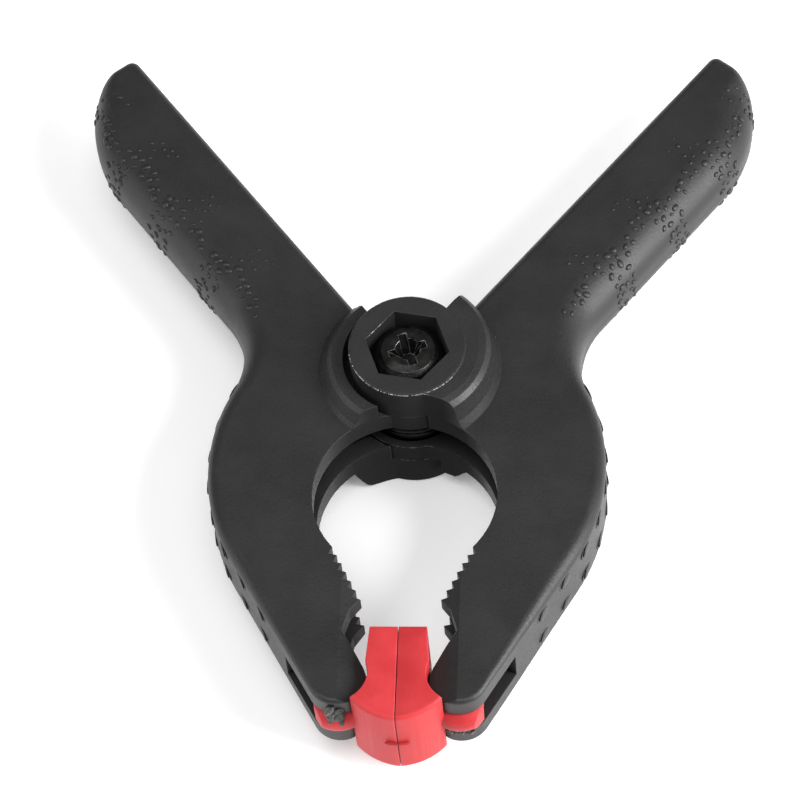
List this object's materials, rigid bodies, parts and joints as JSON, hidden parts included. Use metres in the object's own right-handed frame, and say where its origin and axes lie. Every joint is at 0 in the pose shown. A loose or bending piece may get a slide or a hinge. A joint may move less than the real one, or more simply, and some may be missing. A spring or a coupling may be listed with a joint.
{
  "type": "spring clamp",
  "caption": "Small moulded plastic spring clamp with splayed handles, a toothed round throat, swivelling soft jaw pads and a screw pivot with a torsion spring inside.",
  "frame": {"origin": "middle of the clamp's length and width, on the plane of the back pivot boss, which it rests on; the pivot axis stands 0.8 mm towards the handles", "axes": "+Y from the jaws to the handles, +X to the right arm, +Z along the pivot axis from the nut side to the screw head side"},
  "size_m": [0.0814, 0.0924, 0.0194],
  "materials": {
    "arm_plastic": "moulded black glass-filled nylon, fine matt grain, glossy on the rounded sides",
    "screw_steel": "black oxidised steel with bright worn edges",
    "pad_soft": "coral red soft plastic, satin",
    "spring_wire": "drawn spring wire, lightly oiled"
  },
  "bodies": {
    "left_side": {"left_arm": "arm_plastic", "pivot_screw": "screw_steel", "hex_nut": "screw_steel", "torsion_spring": "spring_wire"},
    "right_side": {"right_arm": "arm_plastic"},
    "right_swivel": {"right_pad": "pad_soft"},
    "left_swivel": {"left_pad": "pad_soft"}
  },
  "joints": [
    {"name": "arm_hinge", "type": "hinge", "parent": "left_side", "child": "right_side", "pos_m": [0, 0.0008, 0.0097], "axis": [0, 0, 1], "range_deg": [0, 45], "stiffness_Nm_per_rad": 0.38, "springref_deg": -20.05, "deforming": ["torsion_spring"]},
    {"name": "right_pad_swivel", "type": "hinge", "parent": "right_side", "child": "right_swivel", "pos_m": [0.0069, -0.0402, 0.0097], "axis": [0, 0, -1], "range_deg": [0, 23]},
    {"name": "left_pad_swivel", "type": "hinge", "parent": "left_side", "child": "left_swivel", "pos_m": [-0.0069, -0.0402, 0.0097], "axis": [0, 0, 1], "range_deg": [0, 23]}
  ],
  "couplings": [
    {"joint": "right_pad_swivel", "follows": "arm_hinge", "ratio": 0.5},
    {"joint": "left_pad_swivel", "follows": "arm_hinge", "ratio": 0.5}
  ]
}
